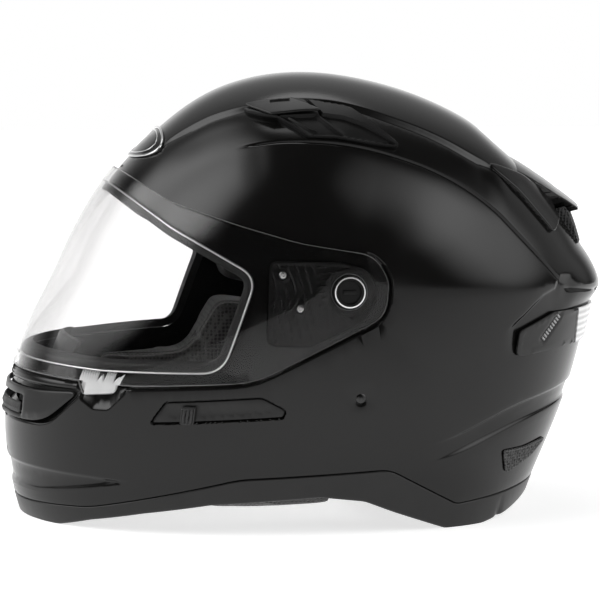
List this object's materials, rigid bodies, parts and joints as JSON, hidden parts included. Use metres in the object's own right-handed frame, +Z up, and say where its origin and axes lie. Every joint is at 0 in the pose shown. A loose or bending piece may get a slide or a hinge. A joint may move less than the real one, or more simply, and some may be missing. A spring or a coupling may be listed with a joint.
{
  "type": "motorcycle helmet",
  "caption": "Full-face motorcycle helmet with opening clear face shield, drop-down sun visor, sliding vents, foam liner, cheek pads and D-ring chin strap.",
  "frame": {"origin": "on the surface it rests on, under the middle of the helmet's outer box", "axes": "-X is the way the wearer faces, -Y is the wearer's left, +Z is up"},
  "size_m": [0.3426, 0.255, 0.251],
  "materials": {
    "gloss_black": "gloss black paint under clear coat",
    "satin_black": "satin black moulded plastic",
    "seal_rubber": "matt black rubber",
    "foam": "dark grey expanded bead foam",
    "lining_fabric": "black brushed lining cloth over foam",
    "clear_lens": "clear hard-coated polycarbonate",
    "smoke_lens": "smoke tinted polycarbonate",
    "steel": "plated steel",
    "grille": "matt black mesh",
    "badge_metal": "satin metal rim",
    "webbing": "woven black polyester webbing"
  },
  "bodies": {
    "helmet": {"outer_shell": "gloss_black", "base_trim": "satin_black", "eyeport_gasket": "seal_rubber", "impact_liner": "foam", "comfort_liner": "lining_fabric", "cheek_pad_left": "lining_fabric", "cheek_pad_right": "lining_fabric", "neck_roll": "lining_fabric", "chin_foam": "foam", "breath_deflector": "seal_rubber", "shield_base_plate_left": "satin_black", "shield_pivot_hub_left": "satin_black", "base_plate_screw_left_1": "steel", "base_plate_screw_left_2": "steel", "shield_base_plate_right": "satin_black", "shield_pivot_hub_right": "satin_black", "base_plate_screw_right_1": "steel", "base_plate_screw_right_2": "steel", "sun_visor_bracket_left": "satin_black", "sun_visor_bracket_right": "satin_black", "sun_visor_track": "satin_black", "crown_vent_left": "satin_black", "rear_vent_cover_left": "satin_black", "rear_vent_lens_left": "clear_lens", "lower_rear_grille_left": "grille", "crown_vent_right": "satin_black", "rear_vent_cover_right": "satin_black", "rear_vent_lens_right": "clear_lens", "lower_rear_grille_right": "grille", "rear_spoiler": "gloss_black", "exhaust_grille": "grille", "chin_vent_frame": "satin_black", "forehead_badge": "badge_metal", "strap_left": "webbing", "strap_right": "webbing", "d_ring_inner": "steel", "d_ring_outer": "steel", "strap_rivet_left": "steel", "strap_rivet_right": "steel"},
    "face_shield": {"face_shield": "clear_lens"},
    "sun_visor": {"sun_visor": "smoke_lens"},
    "sun_visor_slider": {"sun_visor_slider": "satin_black"},
    "chin_vent_shutter": {"chin_vent_shutter": "satin_black"},
    "crown_vent_slider_left": {"crown_vent_slider_left": "satin_black"},
    "crown_vent_slider_right": {"crown_vent_slider_right": "satin_black"}
  },
  "joints": [
    {"name": "face_shield_hinge", "type": "hinge", "parent": "helmet", "child": "face_shield", "pos_m": [0.006, 0, 0.135], "axis": [0, 1, 0], "range_deg": [0, 34]},
    {"name": "sun_visor_hinge", "type": "hinge", "parent": "helmet", "child": "sun_visor", "pos_m": [-0.02, 0, 0.145], "axis": [0, -1, 0], "range_deg": [0, 38]},
    {"name": "sun_visor_lever_slide", "type": "slide", "parent": "helmet", "child": "sun_visor_slider", "axis": [0.9738, -0.2223, 0.0487], "range_m": [0, 0.04]},
    {"name": "chin_vent_slide", "type": "slide", "parent": "helmet", "child": "chin_vent_shutter", "axis": [0, 0, 1], "range_m": [0, 0.004]},
    {"name": "crown_vent_left_slide", "type": "slide", "parent": "helmet", "child": "crown_vent_slider_left", "axis": [0.99, -0.0886, 0.1099], "range_m": [0, 0.004]},
    {"name": "crown_vent_right_slide", "type": "slide", "parent": "helmet", "child": "crown_vent_slider_right", "axis": [0.99, 0.0886, 0.1099], "range_m": [0, 0.004]}
  ],
  "couplings": [
    {"joint": "sun_visor_lever_slide", "follows": "sun_visor_hinge", "m_per_rad": 0.06}
  ]
}
